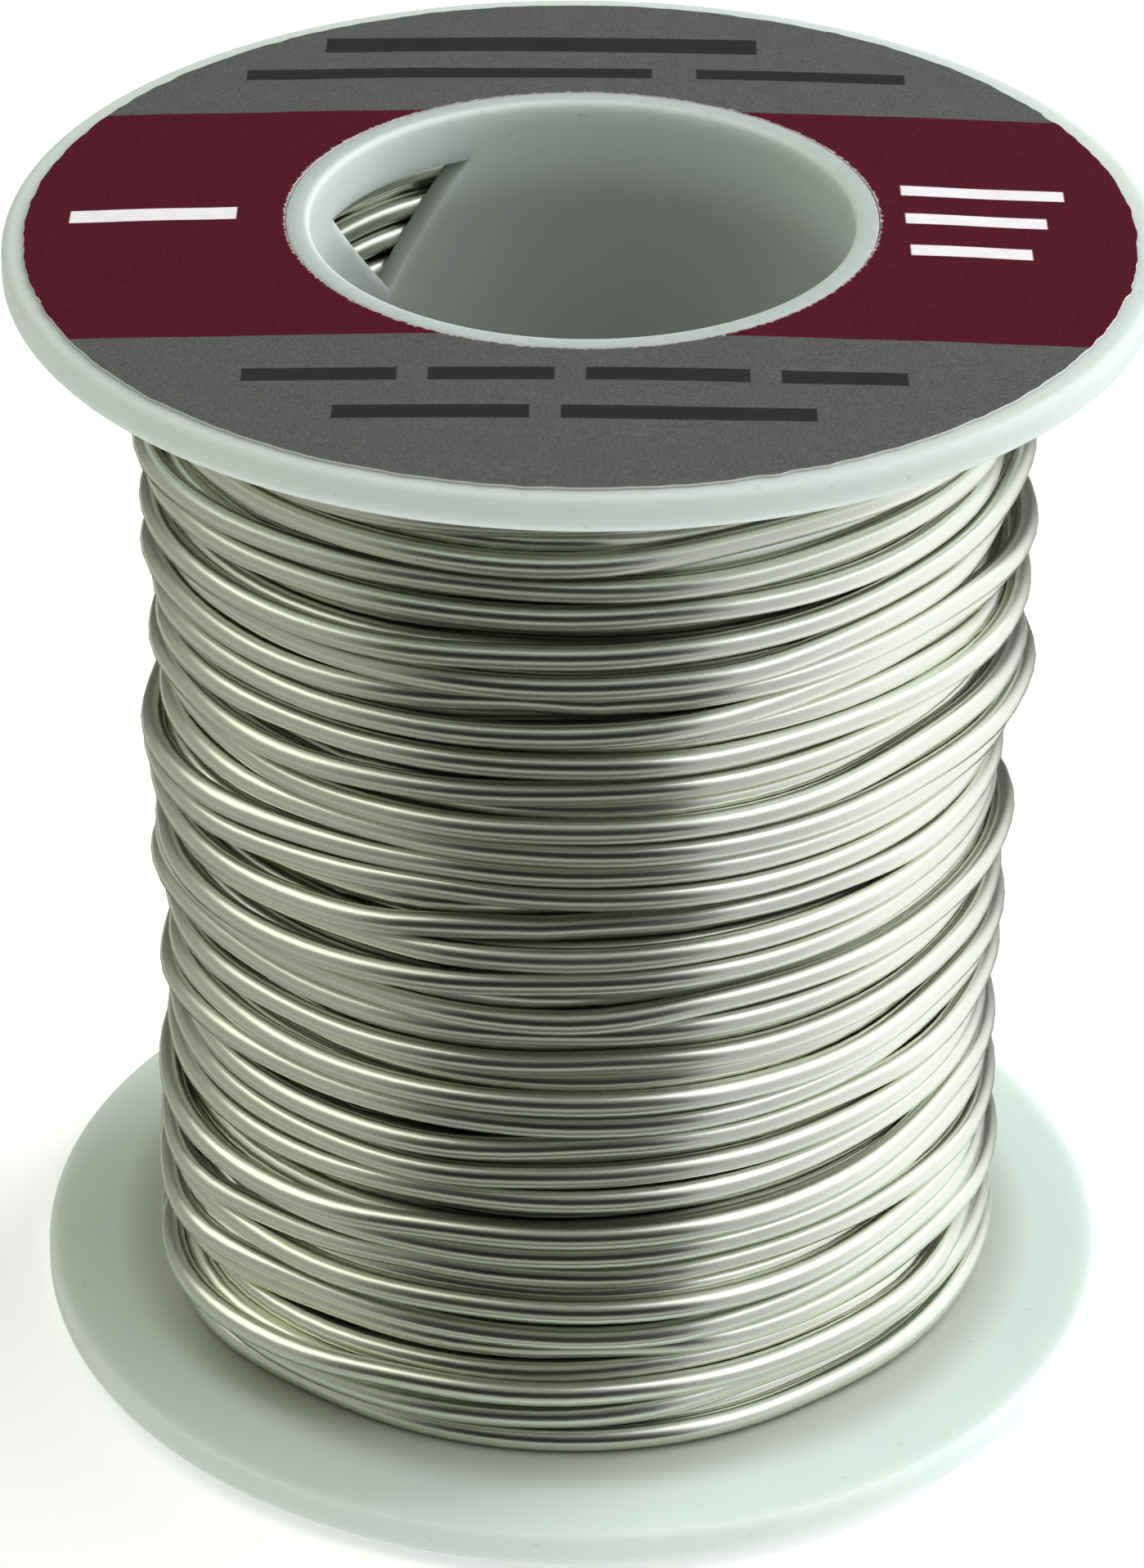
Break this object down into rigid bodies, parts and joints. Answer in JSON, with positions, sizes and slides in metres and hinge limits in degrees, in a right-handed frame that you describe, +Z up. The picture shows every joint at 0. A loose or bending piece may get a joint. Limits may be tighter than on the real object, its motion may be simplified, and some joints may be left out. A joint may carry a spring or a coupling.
{
  "type": "solder wire spool",
  "caption": "Flanged plastic spool with a hollow barrel and a printed paper label, wound full of bright solder wire.",
  "frame": {"origin": "centre of the spool's lowest face, on the axis of the bore", "axes": "+Z up along the bore, towards the labelled end; the anchor window in the barrel faces -X and +Y"},
  "size_m": [0.055, 0.055, 0.06],
  "materials": {
    "spool_plastic": "satin, slightly translucent",
    "label_print": "matte print, grey with a dark red band",
    "solder_wire": "satin"
  },
  "bodies": {
    "root": {"upper_flange": "spool_plastic", "lower_flange": "spool_plastic", "barrel": "spool_plastic", "top_label": "label_print", "wire_winding": "solder_wire"}
  },
  "joints": []
}
